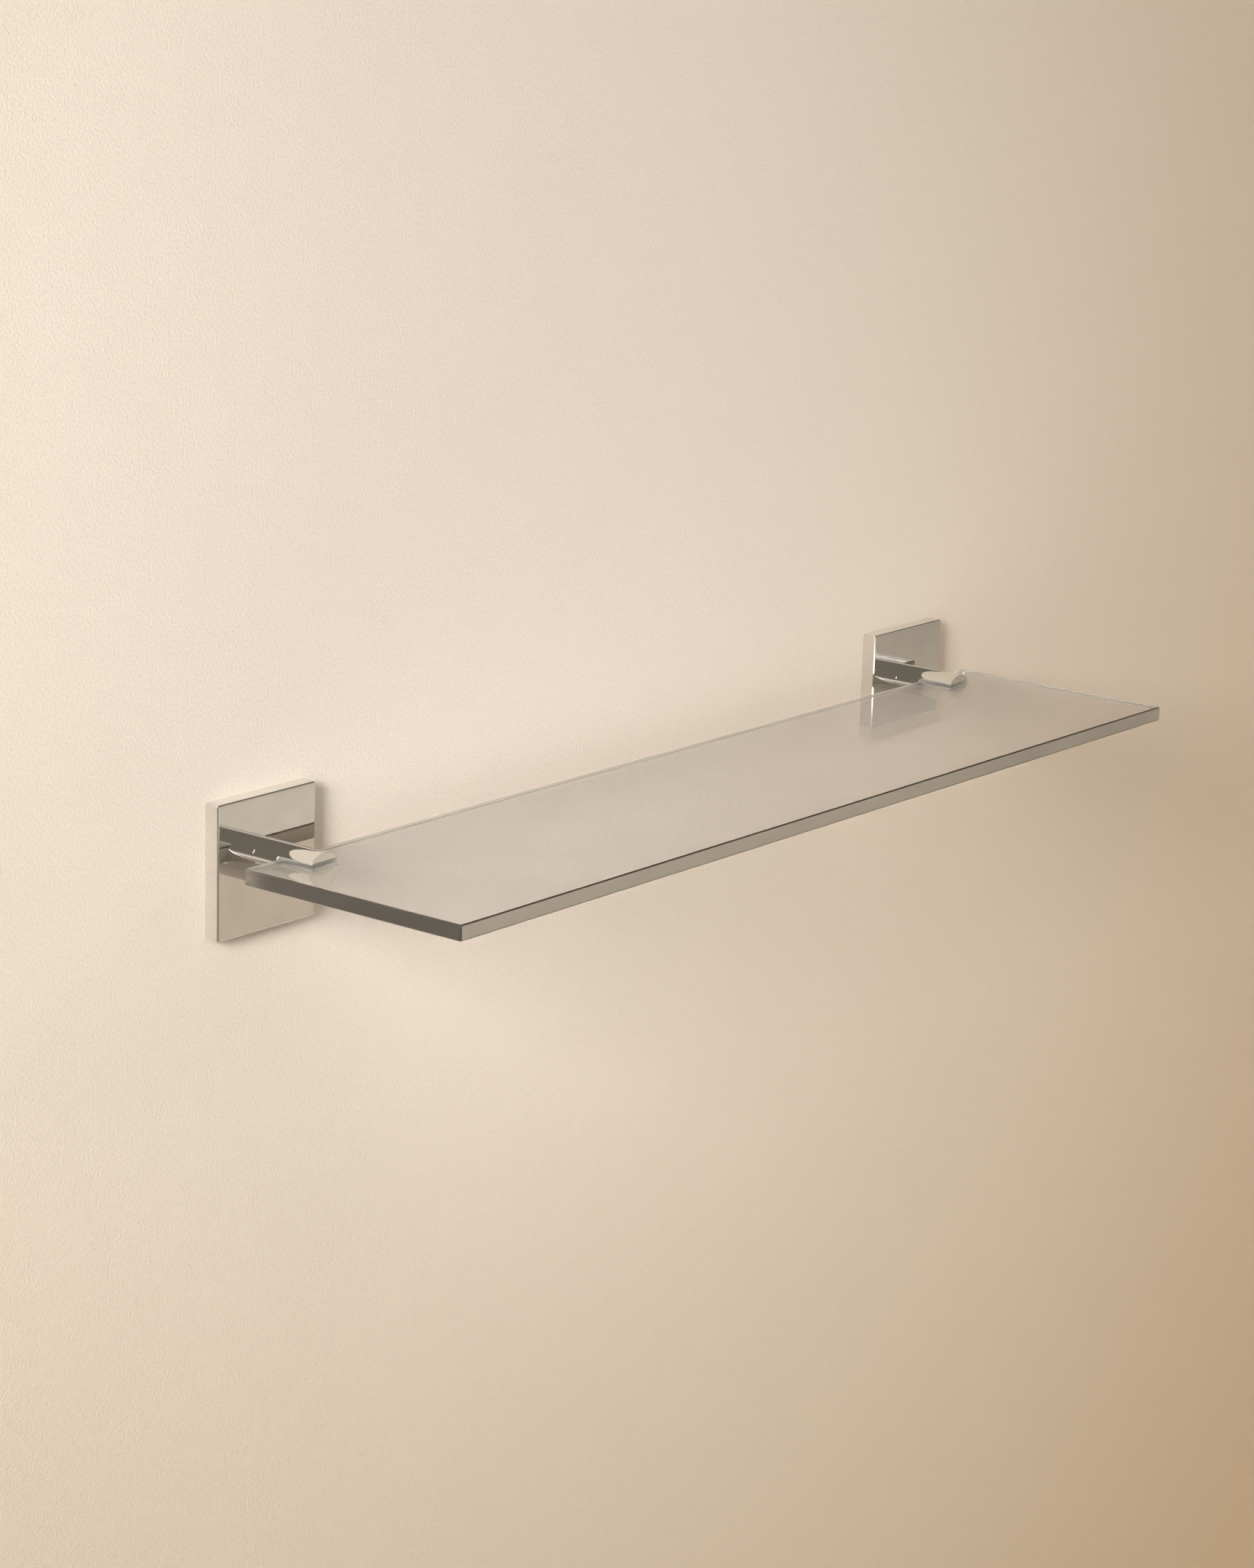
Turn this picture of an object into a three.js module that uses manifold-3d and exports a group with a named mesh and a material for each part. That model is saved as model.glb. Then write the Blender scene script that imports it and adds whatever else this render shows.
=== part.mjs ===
// Glass wall shelf on two square-flanged post brackets.
//
// Frame, in millimetres: +X to the right along the wall, +Y into the wall, +Z up.
// The wall's face is the plane y = 0. The origin lies on it, midway between the
// brackets, at the height of their axes.

import * as THREE from 'three';
import { mergeVertices } from 'three/addons/utils/BufferGeometryUtils.js';
import Module from 'manifold-3d';

const wasm = await Module();
wasm.setup();

// ---- driving dimensions ----

const GLASS_LENGTH = 457.2;
const GLASS_DEPTH = 101.6;
const GLASS_THICKNESS = 6;
const GLASS_ARRIS = 0.7;
const GLASS_CORNER_RADIUS = 1;
const GLASS_TOP = 4.8; // above the bracket's axis

const COVER_SIDE = 50.8;
const COVER_DEPTH = 6.4;
const COVER_WALL = 2.2;
const COVER_FRONT = 1.9;
const COVER_BEVEL = 0.5;
const COVER_CORNER_RADIUS = 0.8;

const ARM_RADIUS = 8.75;
const ARM_LENGTH = 28;
const ARM_CHAMFER = 0.3;
const GRIP_DEPTH = 15.4; // how far the jaws reach over the glass

const LINER_THICKNESS = 0.7;
const LINER_WIDTH = 12.4;
const RUNNING_GAP = 0.05; // around the glass
const FIT_GAP = 0.15; // between pieces that are screwed together

const BACKING_THICKNESS = 2.4;
const BACKING_WIDTH = 42;
const FLANGE_THICKNESS = 2;
const FLANGE_DEPTH = 4.2;
const BACKING_BOTTOM = -20.5;

const WALL_SCREW_HEIGHT = 12; // above and below the axis
const WALL_SCREW_RADIUS = 1.9;
const WALL_SCREW_LENGTH = 34;
const WALL_SLOT_LENGTH = 10;
const WALL_SLOT_WIDTH = 4.8;
const PLUG_RECESS = 2.5; // the plug's mouth lies this far behind the wall's face
const PLUG_LENGTH = 30;
const PLUG_RADIUS = 3.5;

// ---- derived places ----

const COVER_FACE = -COVER_DEPTH;
const COVER_INSIDE = COVER_FACE + COVER_FRONT;
const CAVITY_SIDE = COVER_SIDE - 2 * COVER_WALL;
const BRACKET_OFFSET = (GLASS_LENGTH - COVER_SIDE) / 2; // flanges end flush with the glass
const ARM_TIP = COVER_FACE - ARM_LENGTH;
const GLASS_BACK = ARM_TIP + GRIP_DEPTH;
const GLASS_BOTTOM = GLASS_TOP - GLASS_THICKNESS;
const LINER_TOP = GLASS_TOP + RUNNING_GAP + LINER_THICKNESS;
const LINER_BOTTOM = GLASS_BOTTOM - RUNNING_GAP - LINER_THICKNESS;
const LINER_BACK = GLASS_BACK + RUNNING_GAP + LINER_THICKNESS;
const LINER_FRONT = ARM_TIP + 0.4;

// ---- materials ----

const finish = (color, metalness, roughness) => () =>
  new THREE.MeshStandardMaterial({ color, metalness, roughness });

const chrome = finish(0xd9d4cb, 1, 0.04);
const zincSteel = finish(0xa9a8a4, 1, 0.35);
const stainless = finish(0xb9b6b0, 1, 0.25);
const nylon = finish(0xc9c4b6, 0, 0.6);
const clearVinyl = finish(0xd6d0c4, 0, 0.3);
const clearGlass = () => new THREE.MeshStandardMaterial({
  color: 0xcfc9ba, metalness: 0, roughness: 0.02, transparent: true, opacity: 0.35,
});

// ---- solids ----

function toSolid(geometry) {
  const bare = geometry.clone();
  bare.deleteAttribute('normal');
  bare.deleteAttribute('uv');
  const merged = mergeVertices(bare, 1e-5);
  return new wasm.Manifold(new wasm.Mesh({
    numProp: 3,
    vertProperties: new Float32Array(merged.attributes.position.array),
    triVerts: new Uint32Array(merged.index.array),
  }));
}

function toGeometry(solid) {
  const { vertProperties, triVerts } = solid.getMesh();
  const geometry = new THREE.BufferGeometry();
  geometry.setAttribute('position', new THREE.BufferAttribute(vertProperties, 3));
  geometry.setIndex(new THREE.BufferAttribute(triVerts, 1));
  geometry.computeVertexNormals();
  return geometry;
}

// Joins the first list of geometries and cuts the second list from the result.
function carve(added, removed) {
  const body = added.map(toSolid).reduce((whole, solid) => whole.add(solid));
  return toGeometry(removed.map(toSolid).reduce((whole, tool) => whole.subtract(tool), body));
}

function block([x0, x1], [y0, y1], [z0, z1]) {
  const geometry = new THREE.BoxGeometry(x1 - x0, y1 - y0, z1 - z0);
  return geometry.translate((x0 + x1) / 2, (y0 + y1) / 2, (z0 + z1) / 2);
}

// A round bar along Y.
function rodY(radius, y0, y1, { x = 0, z = 0, sides = 24 } = {}) {
  const geometry = new THREE.CylinderGeometry(radius, radius, y1 - y0, sides);
  return geometry.translate(x, (y0 + y1) / 2, z);
}

// A round bar along Z.
function rodZ(radius, z0, z1, { x = 0, y = 0, sides = 24 } = {}) {
  const geometry = new THREE.CylinderGeometry(radius, radius, z1 - z0, sides);
  return geometry.rotateX(Math.PI / 2).translate(x, y, (z0 + z1) / 2);
}

// A body turned about Y from [radius, y] pairs in rising y, with both ends on the axis.
function turned(profile, sides) {
  return new THREE.LatheGeometry(profile.map(([r, y]) => new THREE.Vector2(r, y)), sides);
}

function roundedRectangle(width, height, radius) {
  const [w, h] = [width / 2, height / 2];
  const shape = new THREE.Shape();
  shape.absarc(w - radius, h - radius, radius, 0, Math.PI / 2);
  shape.absarc(radius - w, h - radius, radius, Math.PI / 2, Math.PI);
  shape.absarc(radius - w, radius - h, radius, Math.PI, 1.5 * Math.PI);
  shape.absarc(w - radius, radius - h, radius, 1.5 * Math.PI, 2 * Math.PI);
  return shape;
}

// A slab along Z, centred on the origin, its edges broken by a flat bevel all round.
function bevelledSlab(width, height, thickness, bevel, cornerRadius) {
  const outline = roundedRectangle(width - 2 * bevel, height - 2 * bevel, cornerRadius);
  const slab = new THREE.ExtrudeGeometry(outline, {
    depth: thickness - 2 * bevel,
    bevelEnabled: true,
    bevelThickness: bevel,
    bevelSize: bevel,
    bevelSegments: 1,
    curveSegments: 3,
  });
  return slab.translate(0, 0, bevel - thickness / 2);
}

function crossRecess(width, run) {
  const span = [-1.7 * width, 1.7 * width];
  const arm = [-width / 2, width / 2];
  return [block(span, run, arm), block(arm, run, span)];
}

function named(name, geometry, material) {
  const mesh = new THREE.Mesh(geometry, material());
  mesh.name = name;
  return mesh;
}

// ---- glass ----

function glassPanel() {
  const slab = bevelledSlab(GLASS_LENGTH, GLASS_DEPTH, GLASS_THICKNESS, GLASS_ARRIS, GLASS_CORNER_RADIUS);
  const panel = named('glass_panel', slab, clearGlass);
  panel.position.set(0, GLASS_BACK - GLASS_DEPTH / 2, (GLASS_TOP + GLASS_BOTTOM) / 2);
  return panel;
}

// ---- bracket pieces, each built about the bracket's own axis ----

const TENON_SIDE = 8;
const ARM_SCREW_RADIUS = 2.4;
const ARM_SCREW_REACH = 9;
const WASHER_RADIUS = 6.2;
const WASHER_THICKNESS = 1;
const CLAMP_SCREW_RADIUS = 1.9;
const CLAMP_SCREW_LENGTH = 6;
const CLAMP_SCREW_PLACE = ARM_TIP + 7.6;
const GRUB_RADIUS = 1.4;
const GRUB_LENGTH = 4.4;
const GRUB_PLACE = -2.4; // from the wall's face

function coverPlate() {
  const overrun = 2; // made too deep, then trimmed flat where it meets the wall
  const slab = bevelledSlab(COVER_SIDE, COVER_SIDE, COVER_DEPTH + overrun, COVER_BEVEL, COVER_CORNER_RADIUS);
  slab.rotateX(Math.PI / 2).translate(0, (overrun - COVER_DEPTH) / 2, 0);
  const half = CAVITY_SIDE / 2;
  const tenonHole = TENON_SIDE / 2 + FIT_GAP;
  return carve([slab], [
    block([-COVER_SIDE, COVER_SIDE], [0, 2 * overrun], [-COVER_SIDE, COVER_SIDE]),
    block([-half, half], [COVER_INSIDE, overrun], [-half, half]),
    block([-tenonHole, tenonHole], [COVER_FACE - 1, COVER_INSIDE + 1], [-tenonHole, tenonHole]),
    rodZ(GRUB_RADIUS + FIT_GAP, -COVER_SIDE, 1 - half, { y: GRUB_PLACE }),
  ]);
}

// The post: a round bar with a square tenon behind and a slot across its tip for the glass.
function arm() {
  const bar = turned([
    [0, ARM_TIP],
    [ARM_RADIUS - ARM_CHAMFER, ARM_TIP],
    [ARM_RADIUS, ARM_TIP + ARM_CHAMFER],
    [ARM_RADIUS, COVER_FACE],
    [0, COVER_FACE],
  ], 72);
  const tenon = TENON_SIDE / 2;
  const wide = [-2 * ARM_RADIUS, 2 * ARM_RADIUS];
  return carve([
    bar,
    block([-tenon, tenon], [COVER_FACE - 1, COVER_INSIDE - FIT_GAP], [-tenon, tenon]),
  ], [
    block(wide, [ARM_TIP - 1, LINER_BACK], [LINER_BOTTOM, LINER_TOP]),
    rodY(ARM_SCREW_RADIUS + FIT_GAP, COVER_INSIDE - ARM_SCREW_REACH - 1, COVER_INSIDE + 1),
    rodZ(CLAMP_SCREW_RADIUS + FIT_GAP, -2 * ARM_RADIUS, LINER_BOTTOM + 1, { y: CLAMP_SCREW_PLACE }),
  ]);
}

// Clear strip folded round the glass's back edge, inside the slot.
function glassLiner() {
  const across = [-LINER_WIDTH / 2, LINER_WIDTH / 2];
  return carve([
    block(across, [LINER_FRONT, LINER_BACK], [LINER_BOTTOM, LINER_TOP]),
  ], [
    block([-LINER_WIDTH, LINER_WIDTH], [LINER_FRONT - 1, LINER_BACK - LINER_THICKNESS],
      [LINER_BOTTOM + LINER_THICKNESS, LINER_TOP - LINER_THICKNESS]),
  ]);
}

// Channel screwed to the wall: the cover hangs on its upper flange.
function backingPlate() {
  const top = CAVITY_SIDE / 2 - FIT_GAP;
  const half = BACKING_WIDTH / 2;
  const across = [-half, half];
  const slotEnd = (WALL_SLOT_LENGTH - WALL_SLOT_WIDTH) / 2;
  const slotHalf = WALL_SLOT_WIDTH / 2;
  const through = [-BACKING_THICKNESS - 1, 1];
  const slots = [-WALL_SCREW_HEIGHT, WALL_SCREW_HEIGHT].flatMap((z) => [
    rodY(slotHalf, ...through, { x: -slotEnd, z }),
    rodY(slotHalf, ...through, { x: slotEnd, z }),
    block([-slotEnd, slotEnd], through, [z - slotHalf, z + slotHalf]),
  ]);
  return carve([
    block(across, [-BACKING_THICKNESS, 0], [BACKING_BOTTOM, top]),
    block(across, [-FLANGE_DEPTH, 0], [BACKING_BOTTOM, BACKING_BOTTOM + FLANGE_THICKNESS]),
    block(across, [-FLANGE_DEPTH, 0], [top - FLANGE_THICKNESS, top]),
  ], [rodY(WASHER_RADIUS + 1, ...through, { sides: 32 }), ...slots]);
}

function armScrew() {
  const seat = COVER_INSIDE + WASHER_THICKNESS;
  const headRadius = 4.6;
  const headTop = seat + 2.2;
  const body = turned([
    [0, COVER_INSIDE - ARM_SCREW_REACH],
    [ARM_SCREW_RADIUS, COVER_INSIDE - ARM_SCREW_REACH],
    [ARM_SCREW_RADIUS, seat],
    [headRadius, seat],
    [headRadius, headTop - 0.9],
    [0.7 * headRadius, headTop],
    [0, headTop],
  ], 24);
  return carve([body], crossRecess(1.1, [headTop - 1.3, headTop + 1]));
}

// Split spring washer under the arm screw's head.
function armWasher() {
  return carve([
    rodY(WASHER_RADIUS, COVER_INSIDE, COVER_INSIDE + WASHER_THICKNESS, { sides: 32 }),
  ], [
    rodY(ARM_SCREW_RADIUS + FIT_GAP, COVER_INSIDE - 1, COVER_INSIDE + 2),
    block([0, 2 * WASHER_RADIUS], [COVER_INSIDE - 1, COVER_INSIDE + 2], [-0.4, 0.4]),
  ]);
}

// Socket screw along Z, its driving end down, with a blunt cone for a tip.
function socketScrew(radius, zLow, zHigh, y) {
  const tip = 0.5 * radius;
  const socketDepth = 0.45 * (zHigh - zLow);
  const body = turned([
    [0, zLow],
    [radius, zLow],
    [radius, zHigh - tip],
    [radius - tip, zHigh],
    [0, zHigh],
  ], 24).rotateX(Math.PI / 2).translate(0, y, 0);
  return carve([body], [rodZ(0.55 * radius, zLow - 1, zLow + socketDepth, { y, sides: 6 })]);
}

function wallScrew() {
  const seat = -BACKING_THICKNESS;
  const headRadius = 3.9;
  const headHeight = 1.8;
  const end = seat + WALL_SCREW_LENGTH;
  const rings = 7;
  const pitch = 2.6;
  const tipLength = 5;
  const root = 0.72 * WALL_SCREW_RADIUS;
  const firstRing = end - tipLength - rings * pitch;
  const thread = Array.from({ length: rings }, (_, ring) => firstRing + ring * pitch).flatMap((y) => [
    [root, y],
    [WALL_SCREW_RADIUS, y + 0.5 * pitch],
  ]);
  const body = turned([
    [0, seat - headHeight],
    [0.6 * headRadius, seat - headHeight],
    [headRadius, seat - 0.45 * headHeight],
    [headRadius, seat],
    [WALL_SCREW_RADIUS, seat],
    [WALL_SCREW_RADIUS, firstRing - 0.5 * pitch],
    ...thread,
    [root, end - tipLength],
    [0, end],
  ], 14);
  return carve([body], crossRecess(0.9, [seat - headHeight - 1, seat - headHeight + 1.1]));
}

// Ribbed plug in the wall, split from behind its collar to its nose.
function wallPlug() {
  const mouth = PLUG_RECESS;
  const end = mouth + PLUG_LENGTH;
  const ribs = 6;
  const pitch = 3.4;
  const collar = 3;
  const ribbed = Array.from({ length: ribs }, (_, rib) => mouth + collar + rib * pitch).flatMap((y) => [
    [PLUG_RADIUS - 0.5, y],
    [PLUG_RADIUS, y + 0.8 * pitch],
  ]);
  const body = turned([
    [0, mouth],
    [PLUG_RADIUS, mouth],
    [PLUG_RADIUS, mouth + collar - 0.5],
    ...ribbed,
    [PLUG_RADIUS - 0.5, mouth + collar + ribs * pitch],
    [0.6 * PLUG_RADIUS, end],
    [0, end],
  ], 14);
  return carve([body], [
    rodY(WALL_SCREW_RADIUS + FIT_GAP, mouth - 1, end + 1, { sides: 14 }),
    block([-0.5, 0.5], [mouth + 2 * collar, end + 1], [-9, 9]),
  ]);
}

// ---- assembly ----

function bracket(side, x) {
  const group = new THREE.Group();
  group.position.x = x;
  const add = (name, geometry, material) => {
    const mesh = named(`${side}_${name}`, geometry, material);
    group.add(mesh);
    return mesh;
  };
  const grubTop = BACKING_BOTTOM - FIT_GAP;
  const clampBottom = LINER_BOTTOM - CLAMP_SCREW_LENGTH;
  add('cover_plate', coverPlate(), chrome);
  add('arm', arm(), chrome);
  add('arm_screw', armScrew(), zincSteel);
  add('arm_washer', armWasher(), zincSteel);
  add('glass_liner', glassLiner(), clearVinyl);
  add('clamp_screw',
    socketScrew(CLAMP_SCREW_RADIUS, clampBottom, LINER_BOTTOM, CLAMP_SCREW_PLACE), stainless);
  add('backing_plate', backingPlate(), zincSteel);
  add('cover_grub_screw', socketScrew(GRUB_RADIUS, grubTop - GRUB_LENGTH, grubTop, GRUB_PLACE), stainless);
  for (const [level, z] of [['upper', WALL_SCREW_HEIGHT], ['lower', -WALL_SCREW_HEIGHT]]) {
    add(`wall_screw_${level}`, wallScrew(), zincSteel).position.z = z;
    add(`wall_plug_${level}`, wallPlug(), nylon).position.z = z;
  }
  return group;
}

const shelf = new THREE.Group();
shelf.add(glassPanel());
shelf.add(bracket('left', -BRACKET_OFFSET));
shelf.add(bracket('right', BRACKET_OFFSET));

export default shelf;
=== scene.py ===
"""Looks of a glass wall shelf on two square chrome brackets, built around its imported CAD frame.

Pieces are made in millimetres about their own bracket (x from the bracket's middle, y into the wall,
z up from the arm's axis) and then set down in the frame, in metres.
"""

import math

import bmesh
import bpy
from mathutils import Matrix, Vector


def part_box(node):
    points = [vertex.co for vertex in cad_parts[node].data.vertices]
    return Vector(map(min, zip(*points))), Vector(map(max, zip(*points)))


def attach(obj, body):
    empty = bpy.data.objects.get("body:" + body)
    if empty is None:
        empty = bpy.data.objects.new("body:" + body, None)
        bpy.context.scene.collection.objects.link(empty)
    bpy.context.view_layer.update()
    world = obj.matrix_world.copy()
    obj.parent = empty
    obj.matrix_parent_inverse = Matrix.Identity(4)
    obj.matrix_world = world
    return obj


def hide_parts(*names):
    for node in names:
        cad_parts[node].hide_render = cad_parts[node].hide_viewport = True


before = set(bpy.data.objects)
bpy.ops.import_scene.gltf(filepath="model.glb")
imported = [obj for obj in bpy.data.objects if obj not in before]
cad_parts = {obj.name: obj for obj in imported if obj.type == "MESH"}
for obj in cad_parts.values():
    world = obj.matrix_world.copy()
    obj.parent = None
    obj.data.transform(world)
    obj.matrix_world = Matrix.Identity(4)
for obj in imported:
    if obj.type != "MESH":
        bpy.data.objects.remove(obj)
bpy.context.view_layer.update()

MM = 0.001

# ---- sizes that the frame's boxes don't give, in millimetres ----

GLASS_ARRIS = 0.5
GLASS_CORNER = 1.0
COVER_BEVEL = 0.5
COVER_CORNER = 0.8
ARM_EDGE = 0.28
TENON_SIDE = 8.0
FIT_GAP = 0.15
LINER_THICKNESS = 0.7
LINER_EDGE = 0.16
BACKING_THICKNESS = 2.4
BACKING_FLANGE = 2.0
BACKING_WINDOW_RADIUS = 7.2
WALL_SLOT_LENGTH = 10.0
WALL_SLOT_WIDTH = 4.8
WALL_SCREW_HEIGHT = 12.0
WALL_SCREW_RADIUS = 1.9
WALL_SCREW_PITCH = 2.6
WALL_SCREW_NECK = 7.0
WALL_SCREW_POINT = 6.0
PLUG_SPLIT = 1.0
ARM_SCREW_RADIUS = 2.4
ARM_SCREW_PITCH = 0.8
WASHER_RISE = 0.12
WASHER_HALF_GAP = math.radians(6)
GRUB_HOLE_CHAMFER = 0.3
CLAMP_HOLE_CHAMFER = 0.25
SMALLEST_CORNER = 0.08
SHARP_ANGLE = math.radians(32)
WELD_DISTANCE = 0.001

# A cutting tool runs this far past what it cuts.
OVERCUT = 1.0

# The share of a thread's pitch that its ridge takes up, for metal and for wood, and its rings in one turn.
MACHINE_RIDGE = 0.9
WOOD_RIDGE = 0.42
THREAD_STEPS_PER_TURN = 10

# ---- the studio, in metres ----

FLOOR_LEVEL = -0.95
FLOOR_HALF = 30.0
WALL_HALF = 3.0
WALL_TOP = 1.9
# Painted shade on the wall: the middle it darkens away from, and the span of distances over which it deepens.
WALL_LIT_MIDDLE = (-0.1, 0, 0.2)
WALL_PAINTED_SHADE_RANGE = (0.2, 1.0)
KEY_WHITE = (1.0, 0.97, 0.92)
WARM_WHITE = (1.0, 0.84, 0.66)
GLINT_WHITE = (1.0, 0.98, 0.94)
SOFT_LIGHT = (1.0, 0.93, 0.83, 1)
SOFT_STRENGTH = 0.44

# The wall reaches this far in under a cover plate's rim.
HIDDEN_RIM = 0.0004

# What chrome mirrors of the room: the sine of the height above the horizon, and the colour there.
MIRRORED_ROOM = (
    (0.02, (0.62, 0.56, 0.47, 1)),
    (0.21, (0.36, 0.31, 0.25, 1)),
    (0.25, (1.0, 0.90, 0.76, 1)),
    (0.3, (1.0, 0.90, 0.76, 1)),
    (0.38, (0.2, 0.178, 0.145, 1)),
)

# ---- the camera's place and turn ----

CAMERA_PLACE = (-1.198316, -0.949365, 0.382422)
CAMERA_YAW = math.radians(51.9426)
CAMERA_PITCH = math.radians(14.3687)
CAMERA_ROLL = math.radians(1.6844)
CAMERA_LENS = 90.045
CAMERA_SENSOR = 36

# ---- flat outlines and profiles ----


def filleted(points, radius, steps=4):
    """An open line of 2D points with each inner corner rounded. radius is one number or one per point."""
    points = [Vector(p) for p in points]
    radii = radius if hasattr(radius, "__len__") else [radius] * len(points)
    line = [points[0]]
    for before, corner, after, r in zip(points, points[1:], points[2:], radii[1:]):
        back, on = before - corner, after - corner
        half = back.angle(on) / 2
        reach = min(r / math.tan(half), 0.49 * back.length, 0.49 * on.length) if r else 0
        if reach < 1e-6:
            line.append(corner)
            continue
        middle = corner + (back.normalized() + on.normalized()).normalized() * (reach / math.cos(half))
        start = corner + back.normalized() * reach - middle
        turn = start.angle_signed(corner + on.normalized() * reach - middle)
        for step in range(steps + 1):
            angle = -turn * step / steps
            line.append(middle + Matrix.Rotation(angle, 2) @ start)
    return line + [points[-1]]


def rounded_rectangle(width, height, corner, inset=0.0, steps=5):
    """Outline of a rectangle about the origin, drawn in by inset."""
    w, h, r = width / 2 - inset, height / 2 - inset, max(corner - inset, SMALLEST_CORNER)
    outline = []
    for quarter, (x, y) in enumerate([(w, h), (-w, h), (-w, -h), (w, -h)]):
        centre = Vector((x - math.copysign(r, x), y - math.copysign(r, y)))
        for step in range(steps + 1):
            angle = (quarter + step / steps) * math.pi / 2
            outline.append(centre + r * Vector((math.cos(angle), math.sin(angle))))
    return outline


def circle(radius, sides):
    angles = (2 * math.pi * k / sides for k in range(sides))
    return [radius * Vector((math.cos(a), math.sin(a))) for a in angles]


def smooth_step(value):
    t = min(max(value, 0.0), 1.0)
    return t * t * (3 - 2 * t)


# ---- meshes ----


def on_y(point, y):
    return Vector((point[0], y, point[1]))


def on_z(point, z):
    return Vector((point[0], point[1], z))


def on_x(point, x):
    return Vector((x, point[0], point[1]))


def new_piece(name, bm):
    """An object made from a bmesh, its faces turned outwards."""
    bmesh.ops.recalc_face_normals(bm, faces=bm.faces)
    mesh = bpy.data.meshes.new(name)
    bm.to_mesh(mesh)
    bm.free()
    piece = bpy.data.objects.new(name, mesh)
    bpy.context.scene.collection.objects.link(piece)
    return piece


def lofted(name, rings):
    """A closed body through rings of 3D points. A ring of one point is a pole, and other ends are capped."""
    bm = bmesh.new()
    made = [[bm.verts.new(p) for p in ring] for ring in rings]
    for low, high in zip(made, made[1:]):
        for k in range(max(len(low), len(high))):
            near = [low[k % len(low)], low[(k + 1) % len(low)]]
            far = [high[(k + 1) % len(high)], high[k % len(high)]]
            bm.faces.new(list(dict.fromkeys(near + far)))
    for ring in (made[0], made[-1]):
        if len(ring) > 2:
            bm.faces.new(ring)
    return new_piece(name, bm)


def round_rings(profile, sides, place, centre):
    """A ring of points for each (radius, along) pair, or one point where the radius is nothing."""
    middle = Vector(centre)
    return [
        [place(middle + p, along) for p in circle(radius, sides)] if radius else [place(middle, along)]
        for radius, along in profile
    ]


def turned(name, profile, sides, place=on_y, centre=(0, 0)):
    """A body turned about an axis from (radius, along) pairs."""
    return lofted(name, round_rings(profile, sides, place, centre))


def prism(name, outline, start, end, place):
    return lofted(name, [[place(p, along) for p in outline] for along in (start, end)])


def cut(piece, *tools):
    """Takes the tools' shapes away from the piece, and removes the tools."""
    for tool in tools:
        modifier = piece.modifiers.new("cut", "BOOLEAN")
        modifier.object = tool
        modifier.operation = "DIFFERENCE"
        modifier.solver = "EXACT"
    bpy.context.view_layer.update()
    whole = piece.evaluated_get(bpy.context.evaluated_depsgraph_get())
    mesh = bpy.data.meshes.new_from_object(whole)
    piece.modifiers.clear()
    piece.data = mesh
    for tool in tools:
        bpy.data.objects.remove(tool)
    bm = bmesh.new()
    bm.from_mesh(mesh)
    bmesh.ops.remove_doubles(bm, verts=bm.verts, dist=WELD_DISTANCE)
    bm.to_mesh(mesh)
    bm.free()


def soften(piece, width, steps=2, angle=40):
    """Rounds off the edges that are sharper than angle, in degrees."""
    bm = bmesh.new()
    bm.from_mesh(piece.data)
    sharp = [e for e in bm.edges if len(e.link_faces) == 2 and e.calc_face_angle() > math.radians(angle)]
    bmesh.ops.bevel(
        bm, geom=sharp, offset=width, segments=steps, profile=0.5, affect="EDGES", clamp_overlap=True
    )
    bmesh.ops.remove_doubles(bm, verts=bm.verts, dist=WELD_DISTANCE)
    bm.to_mesh(piece.data)
    bm.free()


def finish_piece(piece, x, body, slot, node, *materials):
    """Shades a piece smoothly, sets it down in the frame at x, puts it under its body and hides the CAD node
    it stands in for. slot is not used.
    """
    mesh = piece.data
    mesh.transform(Matrix.Translation((x, 0, 0)) @ Matrix.Scale(MM, 4))
    mesh.shade_smooth()
    mesh.set_sharp_from_angle(angle=SHARP_ANGLE)
    mesh.materials.clear()
    for material in materials:
        mesh.materials.append(material)
    weighted = piece.modifiers.new("even shading", "WEIGHTED_NORMAL")
    weighted.keep_sharp = True
    weighted.weight = 100
    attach(piece, body)
    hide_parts(node)


# ---- materials ----


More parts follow.
